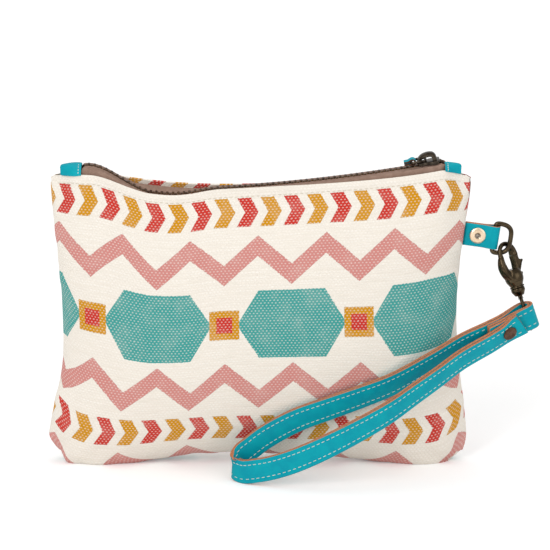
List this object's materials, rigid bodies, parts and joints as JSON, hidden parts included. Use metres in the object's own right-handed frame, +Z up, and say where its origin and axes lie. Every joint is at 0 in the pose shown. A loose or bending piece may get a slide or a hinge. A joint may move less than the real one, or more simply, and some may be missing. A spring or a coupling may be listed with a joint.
{
  "type": "zip-top wristlet pouch",
  "caption": "Stuffed canvas pouch with a curved metal zip, leather end tabs, a side ring tab, a trigger clasp on a swivel and a leather wrist loop",
  "frame": {"origin": "centre of the bounding box in X and Y, on the surface the pouch stands on", "axes": "X along the zip, the side ring at +X; Y from the front face to the back; Z up"},
  "size_m": [0.2674, 0.0738, 0.1749],
  "materials": {
    "canvas": "matte printed cotton canvas",
    "lining": "plain matte cotton lining",
    "zip_tape": "matte woven tape, taupe",
    "leather": "smooth turquoise leather, satin",
    "bronze": "antique dark bronze plating",
    "rivet_brass": "pale polished brass"
  },
  "bodies": {
    "pouch": {"front_panel": "canvas", "back_panel": "canvas", "front_lining": "lining", "back_lining": "lining", "front_zip_tape": "zip_tape", "back_zip_tape": "zip_tape", "front_zip_teeth": "bronze", "back_zip_teeth": "bronze", "left_zip_tab": "leather", "right_zip_tab": "leather", "side_tab": "leather", "side_tab_rivet_cap": "rivet_brass", "side_tab_rivet_post": "rivet_brass"},
    "slider": {"zip_slider": "bronze"},
    "pull": {"zip_pull_bail": "bronze", "zip_pull_tab": "leather"},
    "ring": {"d_ring": "bronze"},
    "clasp": {"clasp_body": "bronze", "clasp_trigger_pin": "bronze", "clasp_spring": "bronze"},
    "trigger": {"clasp_trigger": "bronze"},
    "eye": {"swivel_eye": "bronze"},
    "wrist_strap": {"strap_outer_layer": "leather", "strap_inner_layer": "leather", "strap_rivet_cap": "bronze", "strap_rivet_post": "bronze"}
  },
  "joints": [
    {"name": "zip_slide", "type": "hinge", "parent": "pouch", "child": "slider", "pos_m": [-0.09316, 0.01079, 1.0825], "axis": [0, 1, 0], "range_deg": [0, 6.4], "deforming": ["front_zip_teeth", "back_zip_teeth"]},
    {"name": "pull_flip", "type": "hinge", "parent": "slider", "child": "pull", "pos_m": [0.07075, 0.01079, 0.17056], "axis": [0, 1, 0], "range_deg": [0, 110]},
    {"name": "d_ring_swing", "type": "hinge", "parent": "pouch", "child": "ring", "pos_m": [0.10839, 0.01079, 0.12712], "axis": [0.1392, 0, 0.9903], "range_deg": [0, 60]},
    {"name": "clasp_swing", "type": "hinge", "parent": "ring", "child": "clasp", "pos_m": [0.1146, 0.01079, 0.11925], "axis": [-1, 0, 0], "range_deg": [0, 45]},
    {"name": "trigger_press", "type": "hinge", "parent": "clasp", "child": "trigger", "pos_m": [0.12115, 0.01052, 0.10647], "axis": [0.6834, -0.6332, 0.3635], "range_deg": [0, 22], "stiffness_Nm_per_rad": 0.02, "springref_deg": -17.19, "deforming": ["clasp_spring"]},
    {"name": "swivel_spin", "type": "hinge", "parent": "clasp", "child": "eye", "pos_m": [0.1146, 0.01079, 0.11925], "axis": [-0.3173, 0.1908, 0.9289], "range_deg": [0, 180]},
    {"name": "strap_swing", "type": "hinge", "parent": "eye", "child": "wrist_strap", "pos_m": [0.12557, -0.00001, 0.08754], "axis": [-0.3173, 0.1908, 0.9289], "range_deg": [0, 60]}
  ]
}
